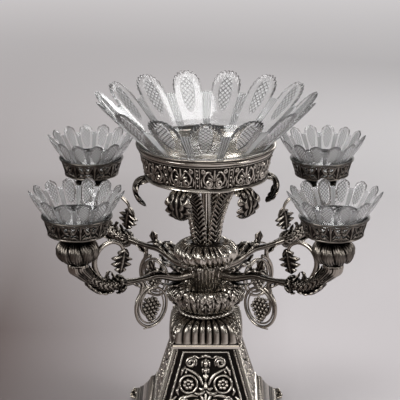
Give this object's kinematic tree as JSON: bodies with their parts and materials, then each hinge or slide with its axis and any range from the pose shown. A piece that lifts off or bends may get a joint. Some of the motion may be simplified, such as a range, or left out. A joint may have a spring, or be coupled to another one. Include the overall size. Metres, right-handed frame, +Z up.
{
  "type": "epergne",
  "caption": "Silver table centrepiece: a square pedestal and foliate stem carry a large petal-edged cut-glass bowl, with pull-out scroll branches that hold small glass dishes.",
  "frame": {"origin": "on the table, under the middle of the base", "axes": "+Z up along the stem; -Y towards the viewer of the picture; X to the right"},
  "size_m": [0.4874, 0.429, 0.5149],
  "materials": {
    "chased_silver": "chased silver with polished high points and dark oxidised recesses",
    "bright_silver": "polished silver",
    "hidden_metal": "plain dull metal inside and under the base",
    "cut_glass": "clear cut glass with petal edges and fine diamond cutting"
  },
  "bodies": {
    "pedestal_and_stem": {"foot_1": "chased_silver", "foot_2": "chased_silver", "foot_3": "chased_silver", "foot_4": "chased_silver", "plinth": "chased_silver", "base_cover": "hidden_metal", "pedestal": "chased_silver", "panel_1": "chased_silver", "panel_2": "chased_silver", "panel_3": "chased_silver", "panel_4": "chased_silver", "cap_plate": "bright_silver", "cushion": "chased_silver", "collar": "bright_silver", "cup": "chased_silver", "calyx": "chased_silver", "neck": "bright_silver", "knop_petals": "chased_silver", "knop": "chased_silver", "stem_sleeve": "bright_silver", "frond_1": "chased_silver", "frond_2": "chased_silver", "frond_3": "chased_silver", "frond_4": "chased_silver", "frond_5": "chased_silver", "frond_6": "chased_silver", "tie_rod": "hidden_metal", "tie_nut": "bright_silver", "main_pan": "chased_silver", "main_band": "chased_silver", "main_rim": "bright_silver"},
    "main_bowl": {"main_bowl": "cut_glass"},
    "branch_1": {"branch_1": "chased_silver", "boss_1": "chased_silver"},
    "dish_frame_1": {"dish_frame_1": "chased_silver"},
    "dish_1": {"dish_1": "cut_glass"},
    "branch_2": {"branch_2": "chased_silver", "boss_2": "chased_silver"},
    "dish_frame_2": {"dish_frame_2": "chased_silver"},
    "dish_2": {"dish_2": "cut_glass"},
    "branch_3": {"branch_3": "chased_silver", "boss_3": "chased_silver"},
    "dish_frame_3": {"dish_frame_3": "chased_silver"},
    "dish_3": {"dish_3": "cut_glass"},
    "branch_4": {"branch_4": "chased_silver", "boss_4": "chased_silver"},
    "dish_frame_4": {"dish_frame_4": "chased_silver"},
    "dish_4": {"dish_4": "cut_glass"}
  },
  "joints": [
    {"name": "main_bowl_lift", "type": "slide", "parent": "pedestal_and_stem", "child": "main_bowl", "axis": [0, 0, 1], "range_m": [0, 0.08]},
    {"name": "branch_1_pull", "type": "slide", "parent": "pedestal_and_stem", "child": "branch_1", "axis": [0.766, 0.6428, 0], "range_m": [0, 0.03]},
    {"name": "dish_frame_1_lift", "type": "slide", "parent": "branch_1", "child": "dish_frame_1", "axis": [0, 0, 1], "range_m": [0, 0.03]},
    {"name": "dish_1_lift", "type": "slide", "parent": "dish_frame_1", "child": "dish_1", "axis": [0, 0, 1], "range_m": [0, 0.05]},
    {"name": "branch_2_pull", "type": "slide", "parent": "pedestal_and_stem", "child": "branch_2", "axis": [-0.766, 0.6428, 0], "range_m": [0, 0.03]},
    {"name": "dish_frame_2_lift", "type": "slide", "parent": "branch_2", "child": "dish_frame_2", "axis": [0, 0, 1], "range_m": [0, 0.03]},
    {"name": "dish_2_lift", "type": "slide", "parent": "dish_frame_2", "child": "dish_2", "axis": [0, 0, 1], "range_m": [0, 0.05]},
    {"name": "branch_3_pull", "type": "slide", "parent": "pedestal_and_stem", "child": "branch_3", "axis": [-0.766, -0.6428, 0], "range_m": [0, 0.03]},
    {"name": "dish_frame_3_lift", "type": "slide", "parent": "branch_3", "child": "dish_frame_3", "axis": [0, 0, 1], "range_m": [0, 0.03]},
    {"name": "dish_3_lift", "type": "slide", "parent": "dish_frame_3", "child": "dish_3", "axis": [0, 0, 1], "range_m": [0, 0.05]},
    {"name": "branch_4_pull", "type": "slide", "parent": "pedestal_and_stem", "child": "branch_4", "axis": [0.766, -0.6428, 0], "range_m": [0, 0.03]},
    {"name": "dish_frame_4_lift", "type": "slide", "parent": "branch_4", "child": "dish_frame_4", "axis": [0, 0, 1], "range_m": [0, 0.03]},
    {"name": "dish_4_lift", "type": "slide", "parent": "dish_frame_4", "child": "dish_4", "axis": [0, 0, 1], "range_m": [0, 0.05]}
  ]
}
